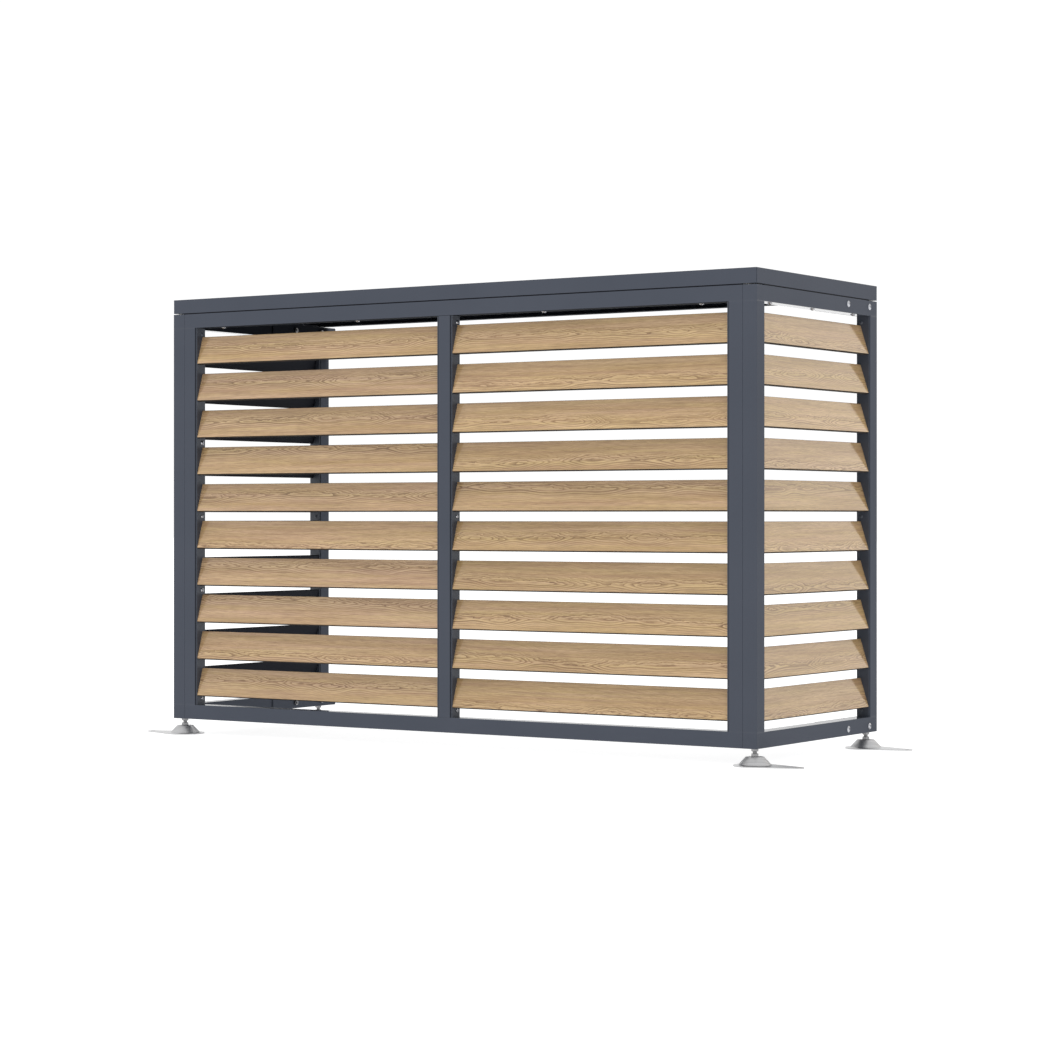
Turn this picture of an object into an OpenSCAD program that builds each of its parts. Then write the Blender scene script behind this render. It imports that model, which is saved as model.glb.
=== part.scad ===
// Heat pump cover: a free-standing louvred enclosure with an open back.
// X runs along the front, Y from the front to the open back, Z up. The ground is at Z = 0.

/* [Cover] */
// Width over the two side panels
cover_w = 1400; // [1000:10:1800]
// Depth from the front face to the open back
cover_d = 500; // [420:10:800]
// Height of the front and side panels
panel_h = 854; // [780:1:1000]

/* [Frame tube] */
// Outside size of the square frame tube
tube = 30; // [28:0.5:34]
// Wall of the frame tube
tube_wall = 1.5; // [1.2:0.1:2]
// Rounding of the tube's long edges
tube_edge_r = 1; // [0.5:0.1:2]
// How far the corner keys reach past the mitred corners
key_reach = 9; // [7.5:0.5:9.5]
// Clearance of a corner key in its tube
key_fit = 0.2; // [0.1:0.05:0.4]
// Distance between the two screw ports inside the mullion
port_apart = 14; // [12:0.5:16]
// Distance of the screw ports from the front face
port_front = 6.5; // [6:0.25:8]
// Wall of a screw port
port_wall = 1.7; // [1.4:0.1:2]

/* [Slats] */
// Number of slats in each bay
slat_count = 10; // [8:1:10]
// Width of a slat
slat_w = 60; // [50:1:64]
// Thickness of a slat
slat_t = 8; // [7:0.5:9]
// Wall of the hollow slat
slat_wall = 1.2; // [1:0.1:1.5]
// Rounding of the slat's long edges
slat_edge_r = 0.8; // [0.4:0.1:1]
// Lean of the slats from upright, lower edge outwards
slat_tilt = 17.5; // [10:0.5:19]

/* [Slat carriers] */
// Thickness of the carrier strip on a stile
carrier_t = 3; // [2.5:0.5:4]
// Width of the carrier strip
carrier_w = 26; // [24:0.5:27]
// Length of the pegs that reach into the slats
peg_len = 10; // [8:1:14]
// Width of a peg across the slat
peg_w = 40; // [30:1:46]
// Clearance of a peg in its slat
peg_fit = 0.2; // [0.1:0.05:0.3]

/* [Lid] */
// Height of the lid's skirt with its top
lid_h = 29; // [26:0.5:40]
// Sheet thickness of the lid
lid_t = 1.5; // [1.2:0.1:2]
// Bend radius of the lid's top edges
lid_edge_r = 2; // [2:0.25:3]
// Width of the flange folded in under the lid
lid_flange = 25; // [22:0.5:28]
// Gap between the frame and the lid
lid_gap = 2; // [1.8:0.1:4]
// Open seam at the lid's folded corners
lid_seam = 1.2; // [0.8:0.1:1.2]
// Diameter of the spacer washers under the lid
spacer_d = 16; // [14:0.5:20]
// Distance of the outer front lid screws from the cover's ends
lid_screw_outer = 125; // [100:5:150]
// Distance of the inner front lid screws from the cover's ends
lid_screw_inner = 475; // [200:5:480]
// Distance of the end side lid screws from the front and the back
lid_screw_side = 78; // [70:1:90]
// Distance of the lid seals from the outer face
seal_inset = 2; // [1.5:0.25:3]
// Clearance between the lid seals and the spacers
seal_clear = 0.5; // [0.25:0.25:1]
// Distance of the lid seals' ends from the cover's corners
seal_end = 32; // [30:1:60]

/* [Rear brackets] */
// Length of a rear bracket
bracket_len = 225; // [180:1:240]
// Thickness of a rear bracket
bracket_t = 3; // [2:0.5:5]
// How far a rear bracket stands out behind the open back
bracket_out = 20; // [0:1:20]
// Rounding of a rear bracket's corners
bracket_corner_r = 2; // [1:0.5:4]
// Distance of the rear bracket bolt from the back
bracket_bolt_rear = 34; // [30:0.5:34]
// Distance of the front bracket bolt from the back
bracket_bolt_front = 126.5; // [100:0.5:140]
// Height of the bracket bolts from the rail's outer edge
bracket_bolt_edge = 12.5; // [11:0.5:15]

/* [Feet] */
// Distance of a foot's axis from the front or the back
foot_inset = 20; // [17:0.5:20]
// Height of a foot's base
base_h = 17.5; // [16:0.5:24]
// Diameter of the base's flat top
base_top_d = 34; // [30:0.5:40]
// Diameter of the base's cone where it meets the plate
base_low_d = 63.5; // [54:0.5:66]
// Rounding of the base's upper edge
base_rim_r = 1; // [0.5:0.25:2]
// Wall of the base's cone
base_wall = 3; // [2.5:0.5:4]
// Thickness of the base's plate
plate_t = 2; // [1.5:0.5:3]
// Radius of the curve from the base's cone to its plate
base_flare_r = 4; // [3:0.5:5]
// Diameter of the base's plate
plate_d = 81; // [76:1:90]
// Distance from a foot's axis to its anchor hole
lug_reach = 90; // [70:1:110]
// Radius of the lug's tip
lug_tip_r = 11; // [9:0.5:14]
// How far the lug's straight sides lie inside the tangent of its rounds
lug_bite = 0.2; // [0.1:0.1:0.5]
// Diameter of the anchor hole
anchor_hole_d = 9; // [7:0.5:11]
// Diameter of the stud's thread
stud_d = 8; // [8:0.5:9]
// Size across the flats of the stud's hexagon and the lock nut
hex_af = 13; // [13:0.5:15]
// Height of the stud's hexagon
stud_hex_h = 5.6; // [5:0.2:8]
// Bare thread between the hexagon and the lock nut at rest
thread_show = 4.3; // [3:0.1:12]
// Height of the lock nut
lock_nut_h = 5.5; // [4:0.5:8]
// Thread inside the frame at rest
thread_in = 22.5; // [16:0.5:23]
// How far a foot can be screwed in from rest
foot_up = 4; // [2:0.5:4]
// Free depth over the stud once it is screwed in
stud_spare = 1.5; // [1:0.5:3]
// Diameter of the stud's neck in the base
neck_d = 10.4; // [9:0.1:11]
// Wall of the bush round the neck
bush_wall = 1.75; // [1.5:0.05:2.5]
// Width of the bush's flange beyond its sleeve
bush_lip = 2.5; // [2:0.5:4]
// Thickness of the bush's flange
bush_flange_t = 1.5; // [1:0.1:2.5]
// Thickness of the collar that holds the neck in the base
collar_t = 2.9; // [2:0.1:4]
// How far the bush's flange stands out past the collar
collar_step = 1; // [0.5:0.25:1.5]

/* [Fasteners] */
// Diameter of the long machine screws
screw_d = 5; // [4.5:0.5:5]
// Length of the long machine screws
screw_len = 45; // [42:1:48]
// Head diameter of the long machine screws
screw_head_d = 9.5; // [8.5:0.5:11]
// Head height of the long machine screws
screw_head_h = 3; // [2.5:0.25:4]
// Outside diameter of the rivet nut bodies
rivet_d = 7; // [7:0.25:8]
// Length of the rivet nuts
rivet_len = 13; // [10:1:16]
// Head diameter of the rivet nuts
rivet_head_d = 10; // [9:0.5:11]
// Head thickness of the rivet nuts
rivet_head_t = 1; // [0.8:0.1:1.2]
// Diameter of the bulge that clamps a rivet nut behind its wall
rivet_bulge_d = 9; // [8.5:0.25:10]
// Height of that bulge
rivet_bulge_h = 2; // [1.5:0.25:3]
// Diameter of the tapping screws
tap_d = 3.8; // [3:0.1:4.2]
// Length of the tapping screws
tap_len = 16; // [12:1:17]
// Head diameter of the tapping screws
tap_head_d = 7.2; // [6:0.1:7.6]
// Head height of the tapping screws
tap_head_h = 2.4; // [2:0.1:3]
// Distance of the carrier screws from the outer face
carrier_screw_y = 18.5; // [17:0.5:19]
// Distance of the end carrier screws from the rails
carrier_screw_end = 13; // [12:0.5:14]
// Diameter of the bracket bolts
bolt_d = 6; // [5:0.5:6]
// Head diameter of the bracket bolts
bolt_head_d = 12.5; // [11:0.5:14]
// Head height of the bracket bolts
bolt_head_h = 3.3; // [2.5:0.1:4]
// Size across the flats of the bracket nuts
bolt_nut_af = 10; // [9:0.5:12]
// Height of the bracket nuts
bolt_nut_h = 5; // [4:0.5:6]
// How far a bracket bolt stands out of its nut
bolt_end = 1.5; // [1:0.5:3]
// Clearance round a screw or bolt in its hole
hole_fit = 0.25; // [0.15:0.05:0.35]
// Running clearance of threads, necks and bushes
run_fit = 0.05; // [0.03:0.01:0.08]
// End play of the stud in its base
end_play = 0.1; // [0.05:0.05:0.2]

/* [Hidden] */
$fn = 48;
eps = 0.01;

front_sides = ["left", "right"];
foot_names = ["front_left", "front_right", "rear_left", "rear_right"];
frame_bars = ["bottom_rail", "top_rail", "front_stile", "rear_stile"];

function two_digits(i) = i < 10 ? str("0", i) : str(i);
function slat_name(side, i) = str("front_", side, "_slat_", two_digits(i));

// Powder-coated frame, wood-effect slats, black plastic, bare metal
frame_colour = [0.24, 0.26, 0.30];
slat_colour = [0.72, 0.57, 0.42];
plastic_colour = [0.10, 0.10, 0.11];
steel_colour = [0.75, 0.75, 0.77];

// Shapes of heads, nuts and points, as shares of their own size
head_rim = 0.25;
recess_width = 0.38;
recess_depth = 0.5;
hex_chamfer = 0.6;
point_width = 0.2;
arc_steps = 6;

// Levels, from the ground up
hex_z = base_h + end_play;
nut_z = hex_z + stud_hex_h + thread_show;
frame_z = nut_z + lock_nut_h;
lid_z = frame_z + panel_h + lid_gap;

// The front panel stands between the two side panels
front_len = cover_w - 2 * tube;
bay_h = panel_h - 2 * tube;
front_bay = (front_len - 3 * tube) / 2;
side_bay = cover_d - 2 * tube;
bore_w = tube - 2 * tube_wall;
key_leg = tube + key_reach;

// Slats share the height of the bay with equal gaps
slat_rise = slat_w * cos(slat_tilt) + slat_t * sin(slat_tilt);
slat_gap = (bay_h - slat_count * slat_rise) / (slat_count + 1);
slat_pitch = slat_rise + slat_gap;

// Middle of the gap with so many slats below it
function gap_mid(k) = tube + slat_gap / 2 + k * slat_pitch;
function slat_mid(i) = gap_mid(i) + slat_pitch / 2;

middle_gap = floor(slat_count / 2);
carrier_screw_z = [tube + carrier_screw_end, gap_mid(middle_gap), panel_h - tube - carrier_screw_end];
panel_screw_z = [gap_mid(middle_gap - 2), gap_mid(middle_gap + 2)];

// Fastener holes
screw_hole = screw_d / 2 + hole_fit;
bolt_hole = bolt_d / 2 + hole_fit;
tap_hole = tap_d / 2;
rivet_hole = rivet_d / 2;
rivet_head_hole = rivet_head_d / 2 + hole_fit;
tap_head_hole = tap_head_d / 2 + hole_fit;

// Lid screws, as distances along the front panel and along a side panel
front_lid_screws = [
    lid_screw_outer - tube, lid_screw_inner - tube,
    front_len - lid_screw_inner + tube, front_len - lid_screw_outer + tube
];
side_lid_screws = [lid_screw_side, cover_d / 2, cover_d - lid_screw_side];

// Screw ports inside the mullion, as places in its section
port_r = tap_hole + port_wall;
ports = [[(tube - port_apart) / 2, port_front], [(tube + port_apart) / 2, port_front]];

// The lid seals lie between the frame's outer edge and the spacers
seal_w = (tube - spacer_d) / 2 - seal_clear - seal_inset;

// Bracket bolts, as distances from the front along a side panel
bracket_bolts_y = [cover_d - bracket_bolt_front, cover_d - bracket_bolt_rear];
bracket_bolts_z = [bracket_bolt_edge, panel_h - bracket_bolt_edge];

// Parts of a levelling foot
neck_r = neck_d / 2;
bush_bore_r = neck_r + run_fit;
bush_r = bush_bore_r + bush_wall;
base_bore_r = bush_r + run_fit;
bush_flange_r = bush_r + bush_lip;
base_under = base_h - base_wall;
bush_flange_z = base_under - end_play - bush_flange_t;
collar_z = bush_flange_z - end_play - collar_t;
stud_bore_r = stud_d / 2 + run_fit;

// A point on a circle round c, in the plane of a profile
function on_arc(c, r, a) = [c[0] + r * cos(a), c[1] + r * sin(a)];

// Rectangle with rounded corners, centred
module rounded_rect(w, h, r) {
    square([w - 2 * r, h], center = true);
    square([w, h - 2 * r], center = true);
    for (x = [-1, 1], y = [-1, 1])
        translate([x * (w / 2 - r), y * (h / 2 - r)]) circle(r);
}

// Hollow section, centred on the X axis and running along +X
module hollow_bar(w, h, wall, r, len) {
    rotate([90, 0, 90]) linear_extrude(len) difference() {
        rounded_rect(w, h, r);
        square([w - 2 * wall, h - 2 * wall], center = true);
    }
}

// Frame tube with its outer lower edge on the X axis
module frame_tube(len) {
    translate([0, tube / 2, tube / 2]) hollow_bar(tube, tube, tube_wall, tube_edge_r, len);
}

// Frame tube mitred at both ends, long edge down
module mitred_tube(len) {
    intersection() {
        frame_tube(len);
        translate([0, tube, 0]) rotate([90, 0, 0]) linear_extrude(tube)
            polygon([[0, 0], [len, 0], [len - tube, tube], [tube, tube]]);
    }
}

// The bars of a panel: the panel lies in X and Z, its outer face on Y = 0
module bottom_bar(len) mitred_tube(len);
module top_bar(len) translate([0, 0, panel_h]) mirror([0, 0, 1]) mitred_tube(len);
module near_bar() mirror([1, 0, -1]) mitred_tube(panel_h);
module far_bar(len) translate([len, 0, 0]) mirror([1, 0, 0]) near_bar();

// Places a panel's own frame in the cover
module in_front() translate([-front_len / 2, -cover_d / 2, frame_z]) children();
module in_right() translate([cover_w / 2, -cover_d / 2, frame_z]) rotate([0, 0, 90]) children();
module in_side(side) {
    if (side == "right") in_right() children();
    else mirror([1, 0, 0]) in_right() children();
}

// Holes through a panel's bars
module hole_z(x, y, z, r, len) translate([x, y, z]) cylinder(r = r, h = len);
module hole_y(x, z, r) translate([x, -tube, z]) rotate([-90, 0, 0]) cylinder(r = r, h = 3 * tube);
module hole_x(x, y, z, r, len) translate([x, y, z]) rotate([0, 90, 0]) cylinder(r = r, h = len);

module lid_screw_holes(places) {
    for (x = places) hole_z(x, tube / 2, panel_h - 2 * tube, screw_hole, 3 * tube);
}

// Side panel, seen from outside on the right: X runs from the front to the back
module side_bottom_rail() {
    color(frame_colour) difference() {
        bottom_bar(cover_d);
        for (x = [foot_inset, cover_d - foot_inset])
            hole_z(x, tube / 2, -eps, stud_d / 2 + hole_fit, tube_wall + 2 * eps);
        for (x = bracket_bolts_y) hole_y(x, bracket_bolts_z[0], bolt_hole);
    }
}

module side_top_rail() {
    color(frame_colour) difference() {
        top_bar(cover_d);
        lid_screw_holes(side_lid_screws);
        for (x = bracket_bolts_y) hole_y(x, bracket_bolts_z[1], bolt_hole);
    }
}

module side_front_stile() {
    color(frame_colour) difference() {
        near_bar();
        for (z = carrier_screw_z)
            hole_x(tube - 2 * tube_wall, carrier_screw_y, z, tap_hole, 2 * tube_wall + eps);
        for (z = panel_screw_z) translate([carrier_screw_y, tube + eps, z])
            rotate([90, 0, 0]) cylinder(r = rivet_hole, h = 2 * tube_wall);
    }
}

module side_rear_stile() {
    color(frame_colour) difference() {
        far_bar(cover_d);
        for (z = carrier_screw_z)
            hole_x(cover_d - tube - eps, carrier_screw_y, z, tap_hole, 2 * tube_wall);
    }
}

// Front panel: X runs from the left to the right
module mullion_screw_holes(z_outer, z_inner) {
    for (p = ports) {
        x = (front_len - tube) / 2 + p[0];
        hole_z(x, p[1], z_outer - tube_wall - eps, tap_head_hole, 2 * tube_wall + 2 * eps);
        hole_z(x, p[1], z_inner - tube_wall - eps, tap_hole, 2 * tube_wall + 2 * eps);
    }
}

module front_bottom_rail() {
    color(frame_colour) difference() {
        bottom_bar(front_len);
        mullion_screw_holes(0, tube);
    }
}

module front_top_rail() {
    color(frame_colour) difference() {
        top_bar(front_len);
        lid_screw_holes(front_lid_screws);
        mullion_screw_holes(panel_h, panel_h - tube);
    }
}

// Stile of the front panel, with holes for the screws that join it to a side panel
module front_stile() {
    color(frame_colour) difference() {
        near_bar();
        for (z = carrier_screw_z)
            hole_x(tube - 2 * tube_wall, carrier_screw_y, z, tap_hole, 2 * tube_wall + eps);
        for (z = panel_screw_z) {
            hole_x(tube_wall, carrier_screw_y, z, screw_hole, tube);
            hole_x(-eps, carrier_screw_y, z, rivet_head_hole, tube_wall + 2 * eps);
        }
    }
}

module mullion_section() {
    difference() {
        union() {
            difference() {
                translate([tube / 2, tube / 2]) rounded_rect(tube, tube, tube_edge_r);
                translate([tube_wall, tube_wall]) square(bore_w);
            }
            for (p = ports) {
                translate(p) circle(port_r);
                translate([p[0] - tube_wall / 2, tube_wall / 2]) square([tube_wall, p[1] - tube_wall / 2]);
            }
        }
        for (p = ports) translate(p) circle(tap_hole);
    }
}

module front_mullion() {
    color(frame_colour) difference() {
        translate([(front_len - tube) / 2, 0, tube]) linear_extrude(bay_h) mullion_section();
        for (z = carrier_screw_z)
            hole_x(front_len / 2 - tube, carrier_screw_y, z, tap_hole, 2 * tube);
    }
}

// One hollow slat, from x along +X
module slat(x, i, len) {
    color(slat_colour) translate([x, tube / 2, slat_mid(i)]) rotate([-slat_tilt, 0, 0])
        hollow_bar(slat_t, slat_w, slat_wall, slat_edge_r, len);
}

module front_slat(side, i) {
    bay_x = side == "left" ? tube : 2 * tube + front_bay;
    slat(bay_x + carrier_t, slat_count - i, front_bay - 2 * carrier_t);
}

module side_slats() {
    for (i = [0:slat_count - 1]) slat(tube + carrier_t, i, side_bay - 2 * carrier_t);
}

// Strip with pegs that carries the slat ends, lying on a stile at X = 0
module slat_carrier(joins_panel) {
    color(plastic_colour) difference() {
        union() {
            translate([0, (tube - carrier_w) / 2, tube]) cube([carrier_t, carrier_w, bay_h]);
            for (i = [0:slat_count - 1]) translate([0, tube / 2, slat_mid(i)]) rotate([-slat_tilt, 0, 0])
                translate([carrier_t + (peg_len - eps) / 2, 0, 0])
                    cube([peg_len + eps, slat_t - 2 * (slat_wall + peg_fit), peg_w], center = true);
        }
        for (z = carrier_screw_z) hole_x(-eps, carrier_screw_y, z, tap_d / 2 + hole_fit, 2 * carrier_t);
        if (joins_panel) for (z = panel_screw_z) hole_x(-eps, carrier_screw_y, z, screw_hole, 2 * carrier_t);
    }
}

// Puts a carrier or its screws on both ends of a bay
module on_bay_ends(x, bay) {
    translate([x, 0, 0]) children();
    translate([x + bay, 0, 0]) mirror([1, 0, 0]) children();
}

module front_slat_carriers() {
    in_front() {
        translate([tube, 0, 0]) slat_carrier(true);
        translate([tube + front_bay, 0, 0]) mirror([1, 0, 0]) slat_carrier(false);
        translate([2 * tube + front_bay, 0, 0]) slat_carrier(false);
        translate([front_len - tube, 0, 0]) mirror([1, 0, 0]) slat_carrier(true);
    }
}

module side_slat_carriers() {
    for (s = front_sides) in_side(s) on_bay_ends(tube, side_bay) slat_carrier(false);
}

// Head with a domed top under Z = 0 and a driving recess
module domed_head(d, h) {
    dome = h * (1 - head_rim);
    ball_r = (d * d / 4 + dome * dome) / 2 / dome;
    difference() {
        intersection() {
            translate([0, 0, -h]) cylinder(d = d, h = h);
            translate([0, 0, ball_r - h]) sphere(ball_r);
        }
        translate([0, 0, -h - eps]) cylinder(d = recess_width * d, h = recess_depth * h, $fn = 6);
    }
}

// Screw or bolt with its seat on Z = 0 and its shank along +Z
module fastener(d, len, head_d, head_h) {
    color(steel_colour) {
        domed_head(head_d, head_h);
        cylinder(d = d, h = len);
    }
}

module machine_screw() fastener(screw_d, screw_len, screw_head_d, screw_head_h);
module bracket_bolt() {
    fastener(bolt_d, tube + bracket_t + bolt_nut_h + bolt_end, bolt_head_d, bolt_head_h);
}

module tapping_screw() {
    fastener(tap_d, tap_len - tap_d, tap_head_d, tap_head_h);
    color(steel_colour) translate([0, 0, tap_len - tap_d])
        cylinder(d1 = tap_d, d2 = point_width * tap_d, h = tap_d);
}

module carrier_screws() {
    for (z = carrier_screw_z) translate([carrier_t, carrier_screw_y, z]) rotate([0, -90, 0]) tapping_screw();
}

module tapping_screws() {
    in_front() {
        on_bay_ends(tube, front_bay) carrier_screws();
        on_bay_ends(2 * tube + front_bay, front_bay) carrier_screws();
        for (p = ports) translate([(front_len - tube) / 2 + p[0], p[1], 0]) {
            translate([0, 0, tube - tube_wall]) tapping_screw();
            translate([0, 0, panel_h - tube + tube_wall]) mirror([0, 0, 1]) tapping_screw();
        }
    }
    for (s = front_sides) in_side(s) on_bay_ends(tube, side_bay) carrier_screws();
}

// L-shaped key in the lower near corner of a panel
module corner_key() {
    gap = tube_wall + key_fit;
    thick = tube - 2 * gap;
    translate([gap, gap, gap]) {
        cube([key_leg - gap, thick, thick]);
        cube([thick, thick, key_leg - gap]);
    }
}

module side_corner_key(has_foot, has_bolt) {
    difference() {
        corner_key();
        if (has_foot) hole_z(foot_inset, tube / 2, 0, stud_bore_r, thread_in + foot_up + stud_spare);
        if (has_bolt) hole_y(bracket_bolt_rear, bracket_bolt_edge, bolt_hole);
    }
}

module from_top() translate([0, 0, panel_h]) mirror([0, 0, 1]) children();
module from_far(len) translate([len, 0, 0]) mirror([1, 0, 0]) children();

module corner_keys() {
    color(steel_colour) {
        in_front() {
            corner_key();
            from_top() corner_key();
            from_far(front_len) corner_key();
            from_far(front_len) from_top() corner_key();
        }
        for (s = front_sides) in_side(s) {
            side_corner_key(true, false);
            from_top() side_corner_key(false, false);
            from_far(cover_d) side_corner_key(true, true);
            from_far(cover_d) from_top() side_corner_key(false, true);
        }
    }
}

// Block with its two top edges rounded, centred in plan, with its foot at Z = 0
module top_rounded(w, h, r) {
    translate([-w / 2, 0]) square([w, h - r]);
    translate([r - w / 2, 0]) square([w - 2 * r, h]);
    for (x = [-1, 1]) translate([x * (w / 2 - r), h - r]) circle(r);
}

module lid_block(w, d, h, r) {
    intersection() {
        translate([-w / 2, 0, 0]) rotate([90, 0, 90]) linear_extrude(w) top_rounded(d, h, r);
        translate([0, d / 2, 0]) rotate([90, 0, 0]) linear_extrude(d) top_rounded(w, h, r);
    }
}

module on_lid_screws() {
    in_front() for (x = front_lid_screws) translate([x, tube / 2, panel_h]) children();
    for (s = front_sides) in_side(s) for (x = side_lid_screws) translate([x, tube / 2, panel_h]) children();
}

module lid() {
    color(frame_colour) difference() {
        translate([0, 0, lid_z]) difference() {
            lid_block(cover_w, cover_d, lid_h, lid_edge_r);
            translate([-cover_w / 2 + lid_t, -cover_d / 2 + lid_t, lid_t])
                cube([cover_w - 2 * lid_t, cover_d - 2 * lid_t, lid_h - 2 * lid_t]);
            translate([-cover_w / 2 + lid_flange, -cover_d / 2 + lid_flange, -eps])
                cube([cover_w - 2 * lid_flange, cover_d - 2 * lid_flange, 2 * lid_t]);
            for (x = [-1, 1], y = [-1, 1])
                translate([x * cover_w / 2, y * cover_d / 2, (lid_h - lid_edge_r - eps) / 2])
                    cube([2 * lid_seam, 2 * lid_seam, lid_h - lid_edge_r + eps], center = true);
        }
        on_lid_screws() translate([0, 0, lid_gap - eps]) cylinder(r = rivet_hole, h = 2 * lid_t);
    }
}

// Strip that closes the gap under the lid, along a panel from one place to the other
module lid_seal(from, to) translate([from, seal_inset, panel_h]) cube([to - from, seal_w, lid_gap]);

module lid_seals() {
    color(plastic_colour) {
        in_front() lid_seal(seal_end - tube, front_len - seal_end + tube);
        for (s = front_sides) in_side(s) lid_seal(seal_end, cover_d - seal_end);
    }
}

module lid_spacers() {
    color(steel_colour) on_lid_screws() difference() {
        cylinder(d = spacer_d, h = lid_gap - rivet_head_t);
        translate([0, 0, -eps]) cylinder(r = screw_hole, h = lid_gap + eps);
    }
}

// Rivet nut with its head's face on Z = 0, set through a wall that starts at its head
module rivet_nut(wall) {
    color(steel_colour) difference() {
        union() {
            cylinder(d = rivet_head_d, h = rivet_head_t);
            cylinder(d = rivet_d, h = rivet_len);
            translate([0, 0, rivet_head_t + wall]) cylinder(d = rivet_bulge_d, h = rivet_bulge_h);
        }
        translate([0, 0, -eps]) cylinder(r = screw_d / 2 + run_fit, h = rivet_len + 2 * eps);
    }
}

// Puts a child where a screw joins the front panel to a side panel, along the screw
module on_panel_screws() {
    in_front() for (z = panel_screw_z) {
        translate([0, carrier_screw_y, z]) rotate([0, -90, 0]) children();
        translate([front_len, carrier_screw_y, z]) rotate([0, 90, 0]) children();
    }
}

module rivet_nuts() {
    on_lid_screws() translate([0, 0, lid_gap - rivet_head_t]) rivet_nut(lid_t);
    on_panel_screws() translate([0, 0, -rivet_head_t]) rivet_nut(tube_wall);
}

module machine_screws() {
    on_lid_screws() translate([0, 0, -tube]) machine_screw();
    on_panel_screws() translate([0, 0, -tube - carrier_t]) machine_screw();
}

// Flat bracket on the inner face of a side panel's bottom rail, with holes for its bolts
module rear_bracket() {
    difference() {
        translate([cover_d + bracket_out - bracket_len / 2, tube + bracket_t, tube / 2])
            rotate([90, 0, 0]) linear_extrude(bracket_t) rounded_rect(bracket_len, tube, bracket_corner_r);
        for (x = bracket_bolts_y) hole_y(x, bracket_bolt_edge, bolt_hole);
    }
}

module rear_brackets() {
    color(frame_colour) for (s = front_sides) in_side(s) {
        rear_bracket();
        from_top() rear_bracket();
    }
}

module on_bracket_bolts() {
    for (s = front_sides) in_side(s) for (x = bracket_bolts_y, z = bracket_bolts_z)
        translate([x, 0, z]) rotate([-90, 0, 0]) children();
}

module bracket_bolts() on_bracket_bolts() bracket_bolt();

// Hexagon with turned corners, from Z = 0 up
module chamfered_hex(af, h) {
    r = af / 2 / cos(30);
    drop = (r - af / 2) * hex_chamfer;
    intersection() {
        cylinder(r = r, h = h, $fn = 6);
        union() {
            cylinder(r1 = af / 2, r2 = r, h = drop);
            translate([0, 0, drop]) cylinder(r = r, h = h - 2 * drop);
            translate([0, 0, h - drop]) cylinder(r1 = r, r2 = af / 2, h = drop);
        }
    }
}

module bracket_nuts() {
    color(steel_colour) on_bracket_bolts() translate([0, 0, tube + bracket_t]) difference() {
        chamfered_hex(bolt_nut_af, bolt_nut_h);
        translate([0, 0, -eps]) cylinder(r = bolt_d / 2 + run_fit, h = bolt_nut_h + 2 * eps);
    }
}

// Places a foot's own frame, with its axis on Z and its lug along +X
module at_foot(name) {
    x = cover_w / 2 - tube / 2;
    y = cover_d / 2 - foot_inset;
    if (name == "front_left") mirror([1, 0, 0]) translate([x, -y, 0]) children();
    if (name == "front_right") translate([x, -y, 0]) children();
    if (name == "rear_left") mirror([1, 0, 0]) translate([x, y, 0]) children();
    if (name == "rear_right") translate([x, y, 0]) children();
}

// Round plate that runs out to a tapered lug, whose sides cut a little into both rounds
module foot_plate() {
    a = acos((plate_d / 2 - lug_tip_r) / lug_reach);
    low = on_arc([0, 0], plate_d / 2 - lug_bite, -a);
    tip = on_arc([lug_reach, 0], lug_tip_r - lug_bite, -a);
    linear_extrude(plate_t) difference() {
        union() {
            circle(d = plate_d, $fn = 96);
            translate([lug_reach, 0]) circle(lug_tip_r);
            polygon([low, tip, [tip[0], -tip[1]], [low[0], -low[1]]]);
        }
        translate([lug_reach, 0]) circle(d = anchor_hole_d);
    }
}

// Outline of the base's cone: a straight flank with a rounded rim, which runs out to the plate in a curve
module cone_outline(top_r, low_r, h, flare_r, rim_r) {
    flank = atan2(h, low_r - top_r);
    toe = [low_r + flare_r * tan(flank / 2), flare_r];
    brow = [top_r - rim_r * tan(flank / 2), h - rim_r];
    flare = [for (i = [0:arc_steps]) on_arc(toe, flare_r, -90 - flank * i / arc_steps)];
    rim = [for (i = [0:arc_steps]) on_arc(brow, rim_r, 90 - flank + flank * i / arc_steps)];
    polygon(concat([[0, 0]], flare, rim, [[0, h]]));
}

module foot_base() {
    color(steel_colour) difference() {
        union() {
            foot_plate();
            translate([0, 0, plate_t]) rotate_extrude()
                cone_outline(base_top_d / 2, base_low_d / 2, base_h - plate_t, base_flare_r, base_rim_r);
        }
        translate([0, 0, -eps]) cylinder(r = base_bore_r, h = base_h + 2 * eps);
        translate([0, 0, -eps]) cylinder(r1 = base_low_d / 2 - base_wall, r2 = base_top_d / 2 - base_wall,
            h = base_under + eps);
    }
}

module foot_bush() {
    color(plastic_colour) difference() {
        union() {
            translate([0, 0, bush_flange_z]) cylinder(r = bush_flange_r, h = bush_flange_t);
            translate([0, 0, bush_flange_z]) cylinder(r = bush_r, h = base_h - bush_flange_z);
        }
        translate([0, 0, bush_flange_z - eps]) cylinder(r = bush_bore_r, h = base_h);
    }
}

module foot_stud() {
    color(steel_colour) {
        translate([0, 0, collar_z]) cylinder(r = bush_flange_r - collar_step, h = collar_t);
        translate([0, 0, collar_z]) cylinder(r = neck_r, h = hex_z - collar_z);
        translate([0, 0, hex_z]) chamfered_hex(hex_af, stud_hex_h);
        translate([0, 0, hex_z]) cylinder(d = stud_d, h = frame_z + thread_in - hex_z);
    }
}

module foot_lock_nuts() {
    color(steel_colour) for (f = foot_names) at_foot(f) translate([0, 0, nut_z]) difference() {
        chamfered_hex(hex_af, lock_nut_h);
        translate([0, 0, -eps]) cylinder(r = stud_bore_r, h = lock_nut_h + 2 * eps);
    }
}

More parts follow.
